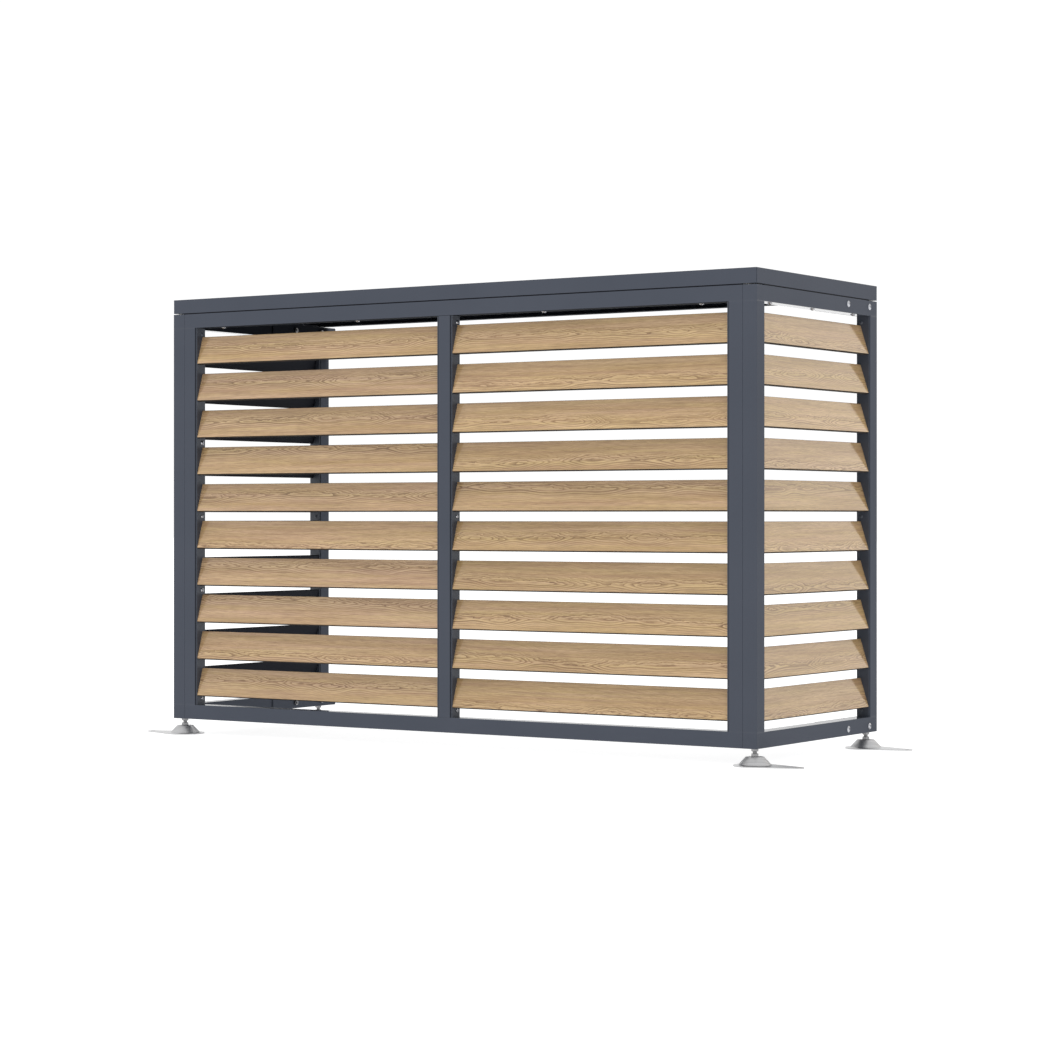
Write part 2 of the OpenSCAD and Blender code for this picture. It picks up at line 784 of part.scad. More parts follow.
for (s = front_sides) {
    in_side(s) side_bottom_rail();
    in_side(s) side_top_rail();
    in_side(s) side_front_stile();
    in_side(s) side_rear_stile();
    in_side(s) side_slats();
    for (i = [1:slat_count])
        in_front() front_slat(s, i);
}
in_front() front_bottom_rail();
in_front() front_top_rail();
in_front() front_stile();  // front_left_stile
in_front() from_far(front_len) front_stile();  // front_right_stile
in_front() front_mullion();
front_slat_carriers();
side_slat_carriers();
tapping_screws();
corner_keys();
lid();
lid_seals();
lid_spacers();
rivet_nuts();
machine_screws();
rear_brackets();
bracket_bolts();
bracket_nuts();
foot_lock_nuts();
for (f = foot_names) {
    at_foot(f) foot_base();
    at_foot(f) foot_bush();
    at_foot(f) foot_stud();
}
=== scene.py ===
"""Heat pump cover: materials, floor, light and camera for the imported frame.

Lengths are in metres in the frame's own axes: X along the front, Y from the front to the open back, Z up.
"""

import math

import bpy
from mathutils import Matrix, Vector


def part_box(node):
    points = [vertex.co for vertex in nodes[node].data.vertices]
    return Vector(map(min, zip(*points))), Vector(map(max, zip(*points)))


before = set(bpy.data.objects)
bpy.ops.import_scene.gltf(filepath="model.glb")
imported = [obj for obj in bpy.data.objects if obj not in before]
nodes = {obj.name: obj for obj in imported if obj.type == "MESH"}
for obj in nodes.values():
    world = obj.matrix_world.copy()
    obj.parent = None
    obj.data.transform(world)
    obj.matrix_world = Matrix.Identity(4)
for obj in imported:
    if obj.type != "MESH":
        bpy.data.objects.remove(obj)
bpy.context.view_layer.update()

# Sizes read from the frame: the tube, the front panel's bays, the side panels' inner faces, a foot's axis
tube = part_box("front_mullion")[1].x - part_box("front_mullion")[0].x
bay_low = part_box("front_bottom_rail")[0].z + tube
bay_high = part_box("front_top_rail")[1].z - tube
bay_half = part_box("front_bottom_rail")[1].x - tube
front_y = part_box("front_bottom_rail")[0].y
back_y = -front_y
cover_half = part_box("lid")[1].x
side_face = bay_half + tube
stud_low, stud_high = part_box("front_right_foot_stud")
foot_x = (stud_low.x + stud_high.x) / 2
foot_y = -(stud_low.y + stud_high.y) / 2

# Slats, as they are in the CAD
SLAT_WIDTH = 0.060
SLAT_THICK = 0.008
SLAT_TILT = math.radians(17.5)
SLAT_COUNT = 10
slat_rise = SLAT_WIDTH * math.cos(SLAT_TILT) + SLAT_THICK * math.sin(SLAT_TILT)
slat_gap = (bay_high - bay_low - SLAT_COUNT * slat_rise) / (SLAT_COUNT + 1)
slat_pitch = slat_rise + slat_gap

# Where most of a noise texture's values lie
NOISE_LOW = 0.3
NOISE_HIGH = 0.7

# A point this near to a face lies on it, and one this far past it is still counted with it
ON_FACE = 0.0003
PAST_FACE = 0.0005


class Graph:
    """A material's node tree, with short calls for the nodes used here."""

    def __init__(self, name):
        self.material = bpy.data.materials.new(name)
        self.material.use_nodes = True
        self.tree = self.material.node_tree
        self.tree.nodes.clear()
        self.output = self.tree.nodes.new("ShaderNodeOutputMaterial")

    def node(self, kind, inputs=None, **settings):
        made = self.tree.nodes.new("ShaderNode" + kind)
        for key, value in settings.items():
            setattr(made, key, value)
        for key, value in (inputs or {}).items():
            self.put(made.inputs[key], value)
        return made

    def put(self, socket, value):
        if isinstance(value, bpy.types.NodeSocket):
            self.tree.links.new(value, socket)
        else:
            socket.default_value = value

    def math(self, operation, *values):
        made = self.node("Math", operation=operation)
        for socket, value in zip(made.inputs, values):
            self.put(socket, value)
        return made.outputs[0]

    def plus(self, first, second):
        return self.math("ADD", first, second)

    def minus(self, first, second):
        return self.math("SUBTRACT", first, second)

    def over(self, first, second):
        return self.math("DIVIDE", first, second)

    def times(self, first, *others):
        for other in others:
            first = self.math("MULTIPLY", first, other)
        return first

    def largest(self, first, *others):
        for other in others:
            first = self.math("MAXIMUM", first, other)
        return first

    def absolute(self, value):
        return self.math("ABSOLUTE", value)

    def below(self, value, limit):
        return self.math("LESS_THAN", value, limit)

    def above(self, value, limit):
        return self.math("GREATER_THAN", value, limit)

    def on(self, value, face):
        """1 where a coordinate lies on a face, 0 elsewhere."""
        return self.below(self.absolute(self.minus(value, face)), ON_FACE)

    def span(self, value, low, high, to_low=0.0, to_high=1.0, smooth=False):
        made = self.node("MapRange", {"Value": value, "From Min": low, "From Max": high,
                                      "To Min": to_low, "To Max": to_high})
        if smooth:
            made.interpolation_type = "SMOOTHSTEP"
        return made.outputs[0]

    def blend(self, share, first, second):
        """A number between two, by a share from 0 to 1."""
        return self.span(share, 0.0, 1.0, first, second)

    def spread(self, noise, low=0.0, high=1.0):
        """Most of a noise's values, stretched over a range."""
        return self.span(noise, NOISE_LOW, NOISE_HIGH, low, high)

    def mix(self, share, first, second, blend="MIX"):
        made = self.node("Mix", data_type="RGBA", blend_type=blend)
        self.put(made.inputs[0], share)
        self.put(made.inputs[6], first)
        self.put(made.inputs[7], second)
        return made.outputs[2]

    def drift(self, noise, tones):
        """A colour that drifts between two tones with a noise."""
        return self.mix(self.spread(noise), *tones)

    def scaled(self, tone, red, green, blue):
        """A colour with each of its parts multiplied by a number."""
        parts = self.node("CombineColor", {"Red": red, "Green": green, "Blue": blue}).outputs[0]
        return self.mix(1.0, tone, parts, "MULTIPLY")

    def vector(self, x, y, z):
        return self.node("CombineXYZ", {"X": x, "Y": y, "Z": z}).outputs[0]

    def split(self, vector):
        return self.node("SeparateXYZ", {"Vector": vector}).outputs

    def place(self):
        return self.node("TexCoord").outputs["Object"]

    def normal(self):
        return self.node("TexCoord").outputs["Normal"]

    def facing(self, direction):
        """How far the surface looks along a direction: 1 straight along it, 0 across it."""
        made = self.node("VectorMath", {0: self.normal(), 1: direction}, operation="DOT_PRODUCT")
        return made.outputs["Value"]

    def noise(self, where, scale, detail=2.0, roughness=0.5):
        made = self.node("TexNoise", {"Vector": where, "Scale": scale, "Detail": detail,
                                      "Roughness": roughness})
        return made.outputs["Fac"]

    def grain(self, where, scale):
        """The fine noise of moulded, sprayed and tooled surfaces."""
        return self.noise(where, scale, 3.0, 0.6)

    def bump(self, height, distance, strength=0.4):
        made = self.node("Bump", {"Height": height, "Distance": distance, "Strength": strength})
        return made.outputs[0]

    def shader(self, inputs):
        made = self.node("BsdfPrincipled", inputs)
        self.tree.links.new(made.outputs[0], self.output.inputs["Surface"])
        return self.material


def colour(r, g, b):
    return (r, g, b, 1.0)


# Powder coat: tones, specks, ranges of roughness, noise scales and depth of its texture
COAT_TONES = colour(0.061, 0.069, 0.088), colour(0.067, 0.075, 0.095)
COAT_SPECK = colour(0.12, 0.13, 0.16)
COAT_SPECK_SPAN = 0.35, 0.75
COAT_SPECK_SHARE = 0.10
COAT_ROUGH = 0.30, 0.38
COAT_SPECULAR = 0.035
COAT_CLOUD = 6.0
COAT_GRAIN = 900.0
COAT_PEEL = 260.0
COAT_DEPTH = 0.00003

# Painted shade on the coat: its tone, how much rougher the shaded places are, and how strong it is inside
# under the lid, on faces that look into the bays, on the edges beside the bays and in the gap under the lid
PAINTED_SHADE_TONE = colour(0.003, 0.0035, 0.005)
PAINTED_SHADE_ROUGH = 0.55
INSIDE_SHADE = 0.88
BAY_SHADE = 0.50
EDGE_SHADE = 0.60
GAP_SHADE = 0.90

# Glossy rails: undersides of the side panels' top rails, upper faces of the bottom rails
UNDER_GLOSS = 0.85
OVER_GLOSS = 0.70
GLOSS_ROUGH = 0.10

# Painted shade inside under the lid: heights below the top rails where it starts and is full, distance from
# the back where it ends, and how far a face may look up and still have it
INSIDE_START = 0.10
INSIDE_FULL = 0.01
INSIDE_END = 0.015
INSIDE_UPWARD = 0.5

# Faces into the bays: how far they look sideways where their painted shade starts and is full
SIDEWAYS_SPAN = 0.25, 0.65

# Rounded tube edges: how far they reach, and where their painted shade has faded
EDGE_REACH = 0.0012
EDGE_FADED = 0.0020


def painted_coat_shade(g, x, y, z):
    """Share of the painted shade: a dark tone for places that little light reaches."""
    across = g.absolute(x)
    toward_x, _, toward_z = g.split(g.normal())
    inside = g.times(g.below(across, side_face + PAST_FACE),
                     g.above(y, front_y + tube - PAST_FACE),
                     g.span(y, back_y - INSIDE_END, back_y - PAST_FACE, 1.0, 0.0),
                     g.below(toward_z, INSIDE_UPWARD),
                     g.span(z, bay_high - INSIDE_START, bay_high - INSIDE_FULL))
    under_front = g.times(g.on(z, bay_high), g.below(across, bay_half + PAST_FACE))
    in_bay = g.times(g.span(g.absolute(toward_x), *SIDEWAYS_SPAN),
                     g.below(across, bay_half + EDGE_REACH),
                     g.below(y, front_y + tube + PAST_FACE),
                     g.below(z, bay_high))
    from_edge = g.math("MINIMUM", g.absolute(g.minus(across, bay_half)),
                       g.absolute(g.minus(across, tube / 2)))
    edge = g.times(g.span(from_edge, EDGE_REACH, EDGE_FADED, 1.0, 0.0),
                   g.below(y, front_y + EDGE_FADED),
                   g.below(z, bay_high),
                   g.above(z, bay_low))
    return g.largest(g.times(g.largest(inside, under_front), INSIDE_SHADE),
                     g.times(in_bay, BAY_SHADE),
                     g.times(edge, EDGE_SHADE),
                     g.times(g.on(z, bay_high + tube), GAP_SHADE))


def powder_coat():
    """Anthracite powder coat: satin, with a very fine texture, a faint drift of tone, and painted shade where
    little light reaches.
    """
    g = Graph("anthracite_powder_coat")
    where = g.place()
    x, y, z = g.split(where)
    cloud = g.noise(where, COAT_CLOUD, 3.0)
    grain = g.grain(where, COAT_GRAIN)
    peel = g.noise(where, COAT_PEEL)
    # Painted shade: the coat turns to a dark tone inside, under the front top rail, into the bays, on edges
    # and in the lid gap
    shade = painted_coat_shade(g, x, y, z)
    speck = g.span(grain, *COAT_SPECK_SPAN, 0.0, COAT_SPECK_SHARE)
    tone = g.mix(speck, g.drift(cloud, COAT_TONES), COAT_SPECK)
    rough = g.spread(g.plus(g.times(grain, 0.6), g.times(cloud, 0.4)), *COAT_ROUGH)
    under_side = g.times(g.on(z, bay_high), g.above(g.absolute(x), bay_half + PAST_FACE))
    gloss = g.largest(g.times(under_side, UNDER_GLOSS), g.times(g.on(z, bay_low), OVER_GLOSS))
    height = g.plus(g.times(grain, 0.3), g.times(peel, 0.7))
    return g.shader({"Base Color": g.mix(shade, tone, PAINTED_SHADE_TONE),
                     "Roughness": g.plus(rough, g.times(shade, PAINTED_SHADE_ROUGH)),
                     "Specular IOR Level": COAT_SPECULAR,
                     "Coat Weight": gloss, "Coat Roughness": GLOSS_ROUGH,
                     "Normal": g.bump(height, COAT_DEPTH)})


# Oak film: its tones, the dark line of painted shade along its lower edge, and the slats' anthracite backs,
# darkened with painted shade
OAK_LIGHT = colour(0.548, 0.382, 0.205)
OAK_MID = colour(0.430, 0.280, 0.138)
OAK_DARK = colour(0.150, 0.082, 0.040)
OAK_PALE = colour(0.680, 0.505, 0.280)
OAK_YELLOW = colour(1.0, 1.01, 0.92)
OAK_PINK = colour(1.01, 0.98, 1.04)
EDGE_FILM_IN_PAINTED_SHADE = colour(0.034, 0.026, 0.021)
SLAT_BACK_IN_PAINTED_SHADE = colour(0.011, 0.013, 0.020)
BACK_METALLIC = 0.6
BACK_ROUGH = 0.85
FILM_ROUGH = 0.10, 0.15
FILM_DEPTH = 0.00004

# How far a face looks outwards where the film starts and is full, and downwards where the dark line of
# painted shade does
FILM_SPAN = 0.90, 0.96
LINE_SPAN = 0.60, 0.75

# Noises of the grain: steps in a metre along and across the plank, detail, roughness
RIPPLE = 45.0, 160.0, 2.0, 0.5
PATCH = 9.0, 45.0, 2.0, 0.5
FIBRE = 34.0, 560.0, 4.0, 0.65
STREAK = 6.0, 200.0, 3.0, 0.55
PORES = 160.0, 2600.0, 2.0, 0.5
BAND = 2.5, 60.0, 3.0, 0.5
TINT = 3.0, 110.0, 2.0, 0.6

# Values of those noises where the mark starts and is full
FIBRE_SPAN = 0.42, 0.72
STREAK_SPAN = 0.44, 0.72
PORE_SPAN = 0.60, 0.72
TINT_SPAN = 0.36, 0.64

# How strongly the parts of the grain show, and how much rougher the pores are
GLOW_SHARE = 0.35
FIBRE_SHARE = 0.46
STREAK_SHARE = 0.34
RING_SHARE = 0.88
PORE_SHARE = 0.40
PORE_BETWEEN = 0.25
PORE_ROUGH = 0.15
PATCH_LOW = 0.45

# Growth rings: their step, how much closer they lie across the plank, how uneven they are, and the parts of a
# step where the dark line is reached, has faded and gives way to lighter wood
RING_STEP = 0.0105
RING_SQUEEZE = 2.6
RING_UNEVEN = 1.6
RING_UNEVEN_SCALE = 90.0
RING_RISE = 0.12
RING_FALL = 0.70
RING_SHARP = 1.6
GLOW_SPAN = 0.45, 0.85

# The tree's heart line: how far it lies from a slat's middle, how round the rings close over it, how it
# wanders in depth and sideways, and how far beside it the rings stay strong
HEART_REACH = 0.024
HEART_ROUND = 0.004
HEART_DEPTH = -0.040, 0.045
HEART_DEPTH_SPAN = 0.25, 0.75
HEART_DEPTH_SCALE = 5.5
HEART_ASIDE = 0.010
HEART_ASIDE_SCALE = 3.0
RIPPLE_DEPTH = 0.006
RIPPLE_ASIDE = 0.002
HEART_NEAR = 0.016
HEART_FAR = 0.040
FAR_RINGS = 0.22

# Seeds: the step between slats along the wood, and the first numbers of the right bay and the side panels
SEED_RUN = 7.31
RIGHT_SEED = 20.0
SIDE_SEED = 40.0

# Painted shade under the slat above: height on the slat where it starts, tone below it, tone at the upper
# edge
FRONT_PAINTED_SHADE = -0.012, 1.03, 0.79
SIDE_PAINTED_SHADE = 0.0, 0.96, 0.90

# Part of blue in the film, in the left and in the right half of the cover
FRONT_BLUE = 1.06, 0.99
SIDE_BLUE = 1.0, 1.0

# How the slats differ from each other in tone and in blue
SLAT_TONES = 0.95, 1.05
SLAT_BLUES = 0.95, 1.04


class Plank:
    """Where a point lies on its slat: run along the grain, rise above the slat's middle, the slat's seed."""

    def __init__(self, g, along, first_seed):
        self.g = g
        x, y, z = g.split(g.place())
        steps = g.over(g.minus(z, bay_low + slat_gap / 2), slat_pitch)
        self.rise = g.times(g.minus(g.math("FRACT", steps), 0.5), slat_pitch)
        self.on_right = g.above(x, 0.0)
        self.seed = g.plus(g.plus(g.math("FLOOR", steps), g.times(self.on_right, RIGHT_SEED)), first_seed)
        chance = g.node("TexWhiteNoise", {"W": self.seed}, noise_dimensions="1D").outputs
        self.picks = g.split(chance["Color"])
        self.run = g.plus({"X": x, "Y": y}[along], g.times(self.seed, SEED_RUN))

    def noise(self, along, across, detail, roughness):
        """Noise stretched along the grain."""
        where = self.g.vector(self.g.times(self.run, along), self.g.times(self.rise, across), self.seed)
        return self.g.noise(where, 1.0, detail, roughness)


def growth_rings(g, plank):
    """Dark porous lines that close over the heart line, and the lighter wood beside them."""
    heart = g.blend(plank.picks[0], -HEART_REACH, HEART_REACH)
    slow = g.noise(g.vector(plank.run, plank.seed, 0.0), HEART_DEPTH_SCALE, 1.0)
    slower = g.noise(g.vector(plank.run, 3.0, plank.seed), HEART_ASIDE_SCALE, 0.0)
    ripple = plank.noise(*RIPPLE)
    depth = g.plus(g.span(slow, *HEART_DEPTH_SPAN, *HEART_DEPTH),
                   g.blend(ripple, -RIPPLE_DEPTH, RIPPLE_DEPTH))
    aside = g.plus(g.minus(plank.rise, heart), g.blend(slower, -HEART_ASIDE, HEART_ASIDE))
    aside = g.times(g.plus(aside, g.blend(ripple, -RIPPLE_ASIDE, RIPPLE_ASIDE)), RING_SQUEEZE)
    radius = g.plus(g.math("SQRT", g.plus(g.times(aside, aside), HEART_ROUND ** 2)), depth)

    uneven = g.noise(g.vector(g.times(radius, RING_UNEVEN_SCALE), plank.seed, 0.0), 1.0)
    phase = g.math("FRACT", g.plus(g.over(radius, RING_STEP), g.times(uneven, RING_UNEVEN)))
    line = g.times(g.span(phase, 0.0, RING_RISE, smooth=True),
                   g.math("POWER", g.span(phase, RING_RISE, RING_FALL, 1.0, 0.0), RING_SHARP))
    near = g.span(g.absolute(aside), HEART_NEAR, HEART_FAR, 1.0, FAR_RINGS)
    ring = g.times(line, near, g.spread(plank.noise(*PATCH), PATCH_LOW, 1.0))
    glow = g.times(g.span(phase, *GLOW_SPAN, smooth=True), near)
    return ring, glow


def oak_film(name, along, outward, first_seed, painted_shade_range, blue_range):
    """Light oak on faces that look outward, anthracite elsewhere; painted shade darkens the film's upper
    part, its lower edge and the backs. The grain runs along the named axis.
    """
    g = Graph(name)
    plank = Plank(g, along, first_seed)
    ring, glow = growth_rings(g, plank)
    fibre = plank.noise(*FIBRE)
    streak = plank.noise(*STREAK)
    pore = g.times(g.span(plank.noise(*PORES), *PORE_SPAN), g.span(ring, 0.0, 0.6, PORE_BETWEEN, 1.0))

    wood = g.drift(plank.noise(*BAND), (OAK_LIGHT, OAK_MID))
    wood = g.mix(g.times(glow, GLOW_SHARE), wood, OAK_PALE)
    wood = g.mix(g.span(fibre, *FIBRE_SPAN, 0.0, FIBRE_SHARE), wood, OAK_DARK)
    wood = g.mix(g.span(streak, *STREAK_SPAN, 0.0, STREAK_SHARE), wood, OAK_DARK)
    wood = g.mix(g.times(ring, RING_SHARE), wood, OAK_DARK)
    wood = g.mix(g.times(pore, PORE_SHARE), wood, OAK_DARK)
    tint = g.mix(g.span(plank.noise(*TINT), *TINT_SPAN), OAK_YELLOW, OAK_PINK)
    wood = g.mix(1.0, wood, tint, "MULTIPLY")

    # A tone of each slat's own, and painted shade that darkens the upper edge under the slat above
    shade_start, shade_low, shade_high = painted_shade_range
    shade = g.times(g.blend(plank.picks[1], *SLAT_TONES),
                    g.span(plank.rise, shade_start, slat_rise / 2, shade_low, shade_high))
    blue = g.times(g.blend(plank.picks[2], *SLAT_BLUES), g.blend(plank.on_right, *blue_range))
    wood = g.scaled(wood, shade, shade, g.times(shade, blue))

    # The film ends at the outward face's edges, and its lower edge shows as a dark line of painted shade
    flat = Vector((outward[0], outward[1], 0.0))
    lower_edge = flat.normalized() * outward[2] - Vector((0.0, 0.0, flat.length))
    film = g.span(g.facing(outward), *FILM_SPAN)
    beside = g.mix(g.span(g.facing(lower_edge), *LINE_SPAN), SLAT_BACK_IN_PAINTED_SHADE, EDGE_FILM_IN_PAINTED_SHADE)
    film_rough = g.plus(g.spread(fibre, *FILM_ROUGH), g.times(pore, PORE_ROUGH))
    height = g.minus(g.times(fibre, 0.4), g.plus(g.times(pore, 0.5), g.times(ring, 0.3)))
    return g.shader({"Base Color": g.mix(film, beside, wood),
                     "Roughness": g.blend(film, BACK_ROUGH, film_rough),
                     "Metallic": g.blend(film, BACK_METALLIC, 0.0),
                     "Normal": g.bump(g.times(height, film), FILM_DEPTH)})


# Plastics: tones, the noise between them (scale, detail, roughness), range of roughness, specular level
PLASTIC_GRAIN = 1400.0
PLASTIC_DEPTH = 0.00003
BLACK_PLASTIC = ((colour(0.006, 0.007, 0.011), colour(0.012, 0.013, 0.019)), (PLASTIC_GRAIN, 3.0, 0.6),
                 (0.48, 0.60), 0.12)
GREY_PLASTIC = ((colour(0.032, 0.039, 0.054), colour(0.041, 0.048, 0.065)), (25.0, 2.0, 0.5),
                (0.42, 0.55), 0.50)


def moulded_plastic(name, tones, tone_noise, rough, specular):
    """Moulded plastic with a fine spark-eroded surface."""
    g = Graph(name)
    where = g.place()
    grain = g.grain(where, PLASTIC_GRAIN)
    return g.shader({"Base Color": g.drift(g.noise(where, *tone_noise), tones),
                     "Roughness": g.spread(grain, *rough), "Specular IOR Level": specular,
                     "Normal": g.bump(grain, PLASTIC_DEPTH)})


# Steel: tones, roughness, noise scales, and depth of the tool marks
STEEL_TONES = colour(0.42, 0.43, 0.46), colour(0.52, 0.53, 0.56)
STEEL_ROUGH = 0.18, 0.32
STEEL_MARKS = 1800.0
STEEL_CLOUD = 90.0
SCREW_TONES = colour(0.48, 0.48, 0.50), colour(0.58, 0.58, 0.60)
SCREW_ROUGH = 0.18, 0.30
SCREW_MARKS = 1600.0
DARK_SCREW_TONES = colour(0.056, 0.063, 0.080), colour(0.066, 0.074, 0.094)
DARK_SCREW_ROUGH = 0.5
STUD_TONES = colour(0.24, 0.24, 0.245), colour(0.32, 0.32, 0.325)
STUD_ROUGH = 0.22, 0.36
STUD_MARKS = 1500.0
STUD_CLOUD = 160.0
MARK_DEPTH = 0.00001

# Painted shade on steel that lies inside the cover: its dark tone and how strongly it shows
STEEL_PAINTED_SHADE = colour(0.06, 0.06, 0.065), 0.8
STUD_PAINTED_SHADE = colour(0.05, 0.05, 0.055), 0.7

# The dark anthracite screw in the front panel's upper left corner: how far it may lie from the tube, lowest
# height
CORNER_REACH = 0.07
CORNER_LOW = 0.8

# The studs' thread: pitch, radius that it stays within, how much painted shade darkens its roots, and depth
THREAD_PITCH = 0.00125
THREAD_REACH = 0.0042
ROOT_PAINTED_SHADE = 0.50
THREAD_DEPTH = 0.0002


def steel_with_painted_shade(g, where, cloud_scale, tones, inside, shade):
    """Steel that drifts between two tones, with painted shade inside the cover."""
    shade_tone, share = shade
    return g.mix(g.times(inside, share), g.drift(g.noise(where, cloud_scale), tones), shade_tone)


def fastener_steel():
    """Bare stainless steel with faint tool marks, and painted shade inside the cover."""
    g = Graph("stainless_fasteners")
    where = g.place()
    x, y, _ = g.split(where)
    marks = g.grain(where, STEEL_MARKS)
    inside = g.times(g.below(g.absolute(x), side_face), g.above(y, front_y + 2 * tube))
    return g.shader({"Base Color": steel_with_painted_shade(g, where, STEEL_CLOUD, STEEL_TONES, inside, STEEL_PAINTED_SHADE),
                     "Metallic": 1.0, "Roughness": g.spread(marks, *STEEL_ROUGH),
                     "Normal": g.bump(marks, MARK_DEPTH)})


def carrier_screws():
    """Screws of the slat carriers: bare steel in the front panel, dark anthracite in the side panels and in
    the front panel's upper left corner.
    """
    g = Graph("carrier_screws")
    where = g.place()
    x, _, z = g.split(where)
    marks = g.grain(where, SCREW_MARKS)
    in_corner = g.times(g.below(x, tube - cover_half + CORNER_REACH), g.above(z, CORNER_LOW))
    # Screws in the side panels and in the upper left corner get a dark anthracite tone
    painted = g.largest(g.above(g.absolute(x), cover_half - tube), in_corner)
    return g.shader({"Base Color": g.mix(painted, g.drift(marks, SCREW_TONES), g.drift(marks, DARK_SCREW_TONES)),
                     "Metallic": g.minus(1.0, painted),
                     "Roughness": g.blend(painted, g.spread(marks, *SCREW_ROUGH), DARK_SCREW_ROUGH),
                     "Normal": g.bump(marks, MARK_DEPTH)})


def round_foot(g, x, y):
    """The two distances from the nearest foot's axis, and the distance along the radius."""
    dx = g.minus(g.absolute(x), foot_x)
    dy = g.minus(g.absolute(y), foot_y)
    return dx, dy, g.math("SQRT", g.plus(g.times(dx, dx), g.times(dy, dy)))


def stud_steel():
    """Dull zinc-plated steel of the foot studs and lock nuts, with thread turns round each stud, painted
    shade in the thread's roots and painted shade inside the cover.
    """
    g = Graph("plated_stud_steel")
    where = g.place()
    x, y, z = g.split(where)
    dx, dy, radius = round_foot(g, x, y)
    turn = g.over(g.math("ARCTAN2", dy, dx), 2 * math.pi)
    wave = g.math("PINGPONG", g.plus(g.over(z, THREAD_PITCH), turn), 0.5)
    on_thread = g.below(radius, THREAD_REACH)
    crest = g.times(g.span(wave, 0.0, 0.5), on_thread)
    # Painted shade darkens the thread's roots
    level = g.blend(crest, g.minus(1.0, g.times(on_thread, ROOT_PAINTED_SHADE)), 1.0)
    # Painted shade on the nuts and spacers inside the cover
    inside = g.below(g.absolute(x), bay_half)
    tone = steel_with_painted_shade(g, where, STUD_CLOUD, STUD_TONES, inside, STUD_PAINTED_SHADE)
    return g.shader({"Base Color": g.scaled(tone, level, level, level), "Metallic": 1.0,
                     "Roughness": g.spread(g.grain(where, STUD_MARKS), *STUD_ROUGH),
                     "Normal": g.bump(crest, THREAD_DEPTH, 0.6)})


# Feet: tones of the turned cone, its grooves' roots darkened with painted shade, of the flat plate and of the
# clouds on both, roughness of the plate and how much rougher the cone is, noise scales, waver, pitch and
# depth of the turned grooves, height of the plate and width of the change to the cone
CONE_TONES = colour(0.42, 0.42, 0.425), colour(0.70, 0.70, 0.705)
PLATE_TONE = colour(0.56, 0.56, 0.565)
CLOUD_TONE = colour(0.30, 0.30, 0.31)
CLOUD_SHARE = 0.12
PLATE_ROUGH = 0.26, 0.36
CONE_ROUGH = 0.18
FOOT_GRAIN = 700.0
FOOT_CLOUD = 60.0
GROOVE_UNEVEN = 900.0
GROOVE_WAVER = 3.0
GROOVE_STEP = 0.0022
GROOVE_DEPTH = 0.00008
CONE_LOW = 0.003
CONE_CHANGE = 0.001


def foot_metal():
    """Bright metal, turned on its cone: fine rings round each foot's own axis, their roots darkened with
    painted shade, none on the flat plate.
    """
    g = Graph("turned_foot_metal")
    where = g.place()
    x, y, z = g.split(where)
    radius = round_foot(g, x, y)[2]
    grain = g.grain(where, FOOT_GRAIN)
    uneven = g.noise(g.vector(g.times(radius, GROOVE_UNEVEN), 0.0, 0.0), 1.0)
    wave = g.math("SINE", g.plus(g.times(radius, 2 * math.pi / GROOVE_STEP), g.times(uneven, GROOVE_WAVER)))
    on_cone = g.span(z, CONE_LOW, CONE_LOW + CONE_CHANGE)
    groove = g.times(wave, on_cone)
    # The grooves' roots take the darker tone: painted shade
    tone = g.mix(on_cone, PLATE_TONE, g.mix(g.span(groove, -1.0, 1.0), *CONE_TONES))
    tone = g.mix(g.spread(g.noise(where, FOOT_CLOUD), 0.0, CLOUD_SHARE), tone, CLOUD_TONE)
    height = g.plus(g.times(groove, 0.5), g.times(grain, 0.10))
    return g.shader({"Base Color": tone, "Metallic": 1.0,
                     "Roughness": g.plus(g.spread(grain, *PLATE_ROUGH), g.times(on_cone, CONE_ROUGH)),
                     "Normal": g.bump(height, GROOVE_DEPTH, 0.7)})


# Aluminium: tones, roughness, steps in a metre along and across its drawing lines
ALUMINIUM_TONES = colour(0.66, 0.67, 0.69), colour(0.78, 0.79, 0.81)
ALUMINIUM_ROUGH = 0.28, 0.42
LINES_ALONG = 40.0
LINES_ACROSS = 1500.0


def mill_aluminium():
    """Mill-finish aluminium with drawing lines, for the keys inside the corners."""
    g = Graph("mill_aluminium")
    x, y, z = g.split(g.place())
    where = g.vector(g.times(x, LINES_ALONG), g.times(y, LINES_ACROSS), g.times(z, LINES_ACROSS))
    lines = g.noise(where, 1.0, 3.0)
    return g.shader({"Base Color": g.drift(lines, ALUMINIUM_TONES), "Metallic": 1.0,
                     "Roughness": g.spread(lines, *ALUMINIUM_ROUGH), "Normal": g.bump(lines, MARK_DEPTH)})


coat = powder_coat()
black_plastic = moulded_plastic("black_moulded_plastic", *BLACK_PLASTIC)
grey_plastic = moulded_plastic("anthracite_moulded_plastic", *GREY_PLASTIC)
steel = fastener_steel()
small_screws = carrier_screws()
stud_finish = stud_steel()
foot_finish = foot_metal()
aluminium = mill_aluminium()
lean = math.sin(SLAT_TILT)
upright = math.cos(SLAT_TILT)
front_oak = oak_film("oak_film_front", "X", (0.0, -upright, lean), 0.0, FRONT_PAINTED_SHADE, FRONT_BLUE)
left_oak = oak_film("oak_film_left_side", "Y", (-upright, 0.0, lean), SIDE_SEED, SIDE_PAINTED_SHADE, SIDE_BLUE)
right_oak = oak_film("oak_film_right_side", "Y", (upright, 0.0, lean), SIDE_SEED, SIDE_PAINTED_SHADE, SIDE_BLUE)

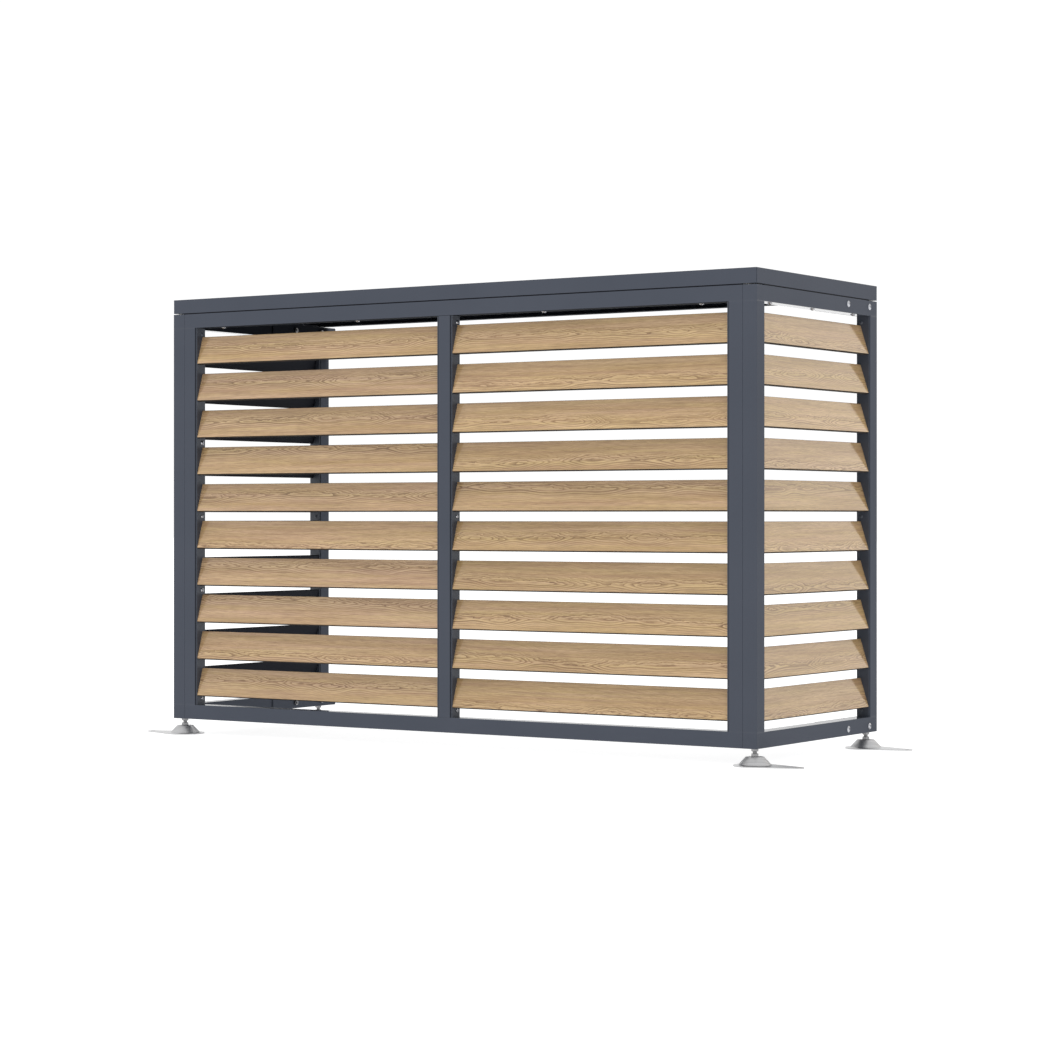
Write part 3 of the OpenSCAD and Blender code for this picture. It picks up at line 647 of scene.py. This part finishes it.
FINISHES = {
    "left_side_slats": left_oak,
    "right_side_slats": right_oak,
    "front_slat_carriers": grey_plastic,
    "side_slat_carriers": grey_plastic,
    "lid_seals": black_plastic,
    "corner_keys": aluminium,
    "tapping_screws": small_screws,
    "foot_lock_nuts": stud_finish,
    "bracket_nuts": stud_finish,
    "lid_spacers": stud_finish,
    "rivet_nuts": steel,
    "machine_screws": steel,
    "bracket_bolts": steel,
}


def finish_of(name):
    """The material of a CAD node, by its name."""
    if name in FINISHES:
        return FINISHES[name]
    if "_slat_" in name:
        return front_oak
    if name.endswith("_foot_bush"):
        return black_plastic
    if name.endswith("_foot_base"):
        return foot_finish
    if name.endswith("_foot_stud"):
        return stud_finish
    return coat


for name, node in nodes.items():
    finish = finish_of(name)
    if not node.material_slots:
        node.data.materials.append(finish)
    for slot in node.material_slots:
        slot.material = finish

# Floor: tones, roughness, light of its own, noise scale and half its width
FLOOR_TONES = colour(0.40, 0.40, 0.40), colour(0.42, 0.42, 0.42)
FLOOR_ROUGH = 0.9
FLOOR_SPECULAR = 0.1
FLOOR_GLOW = 0.85
FLOOR_CLOUD = 0.8
FLOOR_HALF = 40.0


def make_floor():
    g = Graph("pale_floor")
    g.shader({"Base Color": g.drift(g.noise(g.place(), FLOOR_CLOUD, 3.0), FLOOR_TONES),
              "Roughness": FLOOR_ROUGH, "Specular IOR Level": FLOOR_SPECULAR,
              "Emission Color": colour(1.0, 1.0, 1.0), "Emission Strength": FLOOR_GLOW})
    corners = [(x * FLOOR_HALF, y * FLOOR_HALF, 0.0) for x, y in ((-1, -1), (1, -1), (1, 1), (-1, 1))]
    mesh = bpy.data.meshes.new("floor")
    mesh.from_pydata(corners, [], [(0, 1, 2, 3)])
    mesh.materials.append(g.material)
    floor = bpy.data.objects.new("floor", mesh)
    bpy.context.scene.collection.objects.link(floor)


make_floor()

# Surround: a bright even light, dimmer towards the side behind the cover's right end. The dimming starts and
# is full at these cosines of the angle from that side.
BRIGHT = 1.05
DIM = 0.36
DIM_SIDE = (0.49, 0.85, -0.19)
DIM_START = 0.62
DIM_FULL = 0.90


def make_world():
    world = bpy.data.worlds.new("studio")
    world.use_nodes = True
    tree = world.node_tree
    ray = tree.nodes.new("ShaderNodeTexCoord")
    toward = tree.nodes.new("ShaderNodeVectorMath")
    toward.operation = "DOT_PRODUCT"
    toward.inputs[1].default_value = DIM_SIDE
    level = tree.nodes.new("ShaderNodeMapRange")
    level.interpolation_type = "SMOOTHSTEP"
    level.inputs["From Min"].default_value = DIM_START
    level.inputs["From Max"].default_value = DIM_FULL
    level.inputs["To Min"].default_value = BRIGHT
    level.inputs["To Max"].default_value = DIM
    tree.links.new(ray.outputs["Generated"], toward.inputs[0])
    tree.links.new(toward.outputs["Value"], level.inputs["Value"])

    # Seen directly, the surround is white on every side
    path = tree.nodes.new("ShaderNodeLightPath")
    shown = tree.nodes.new("ShaderNodeMix")
    tree.links.new(path.outputs["Is Camera Ray"], shown.inputs[0])
    tree.links.new(level.outputs[0], shown.inputs[2])
    shown.inputs[3].default_value = BRIGHT
    tree.links.new(shown.outputs[0], tree.nodes["Background"].inputs["Strength"])
    tree.nodes["Background"].inputs["Color"].default_value = colour(1.0, 1.0, 1.0)
    bpy.context.scene.world = world


def set_up(item, place, direction):
    """Put a light or a camera at a place, looking along a direction."""
    item.location = place
    item.rotation_euler = Vector(direction).to_track_quat("-Z", "Y").to_euler()
    bpy.context.scene.collection.objects.link(item)


def soft_panel(name, place, target, size, power, tint=(1.0, 1.0, 1.0)):
    data = bpy.data.lights.new(name, "AREA")
    data.color = tint
    data.shape = "RECTANGLE"
    data.size, data.size_y = size
    data.energy = power
    lamp = bpy.data.objects.new(name, data)
    lamp.visible_camera = False
    set_up(lamp, place, Vector(target) - Vector(place))


make_world()
soft_panel("key_panel", place=(0.6, -5.5, 4.2), target=(0.0, 0.0, 0.5), size=(3.0, 2.0), power=34.0)
soft_panel("rear_panel", place=(3.0, 5.6, 2.2), target=(0.6, 0.0, 0.5), size=(3.2, 2.0), power=28.0,
           tint=(1.0, 0.93, 0.84))

# Camera of the photograph. Its lens and sensor are in mm.
CAMERA_PLACE = (3.064, -4.616, 0.460)
CAMERA_LOOK = (-0.5497, 0.8354, 0.0)
CAMERA_LENS = 92.50
CAMERA_SENSOR = 36.0
CAMERA_SHIFT_Y = -0.0081
CAMERA_NEAR = 0.05
CAMERA_FAR = 200.0


def make_camera():
    data = bpy.data.cameras.new("photo_camera")
    data.sensor_fit = "HORIZONTAL"
    data.sensor_width = CAMERA_SENSOR
    data.lens = CAMERA_LENS
    data.shift_y = CAMERA_SHIFT_Y
    data.clip_start = CAMERA_NEAR
    data.clip_end = CAMERA_FAR
    camera = bpy.data.objects.new("photo_camera", data)
    set_up(camera, CAMERA_PLACE, CAMERA_LOOK)
    bpy.context.scene.camera = camera


make_camera()
view = bpy.context.scene.view_settings
view.view_transform = "Standard"
view.look = "None"
view.exposure = 0.0
view.gamma = 1.0

bpy.context.view_layer.update()
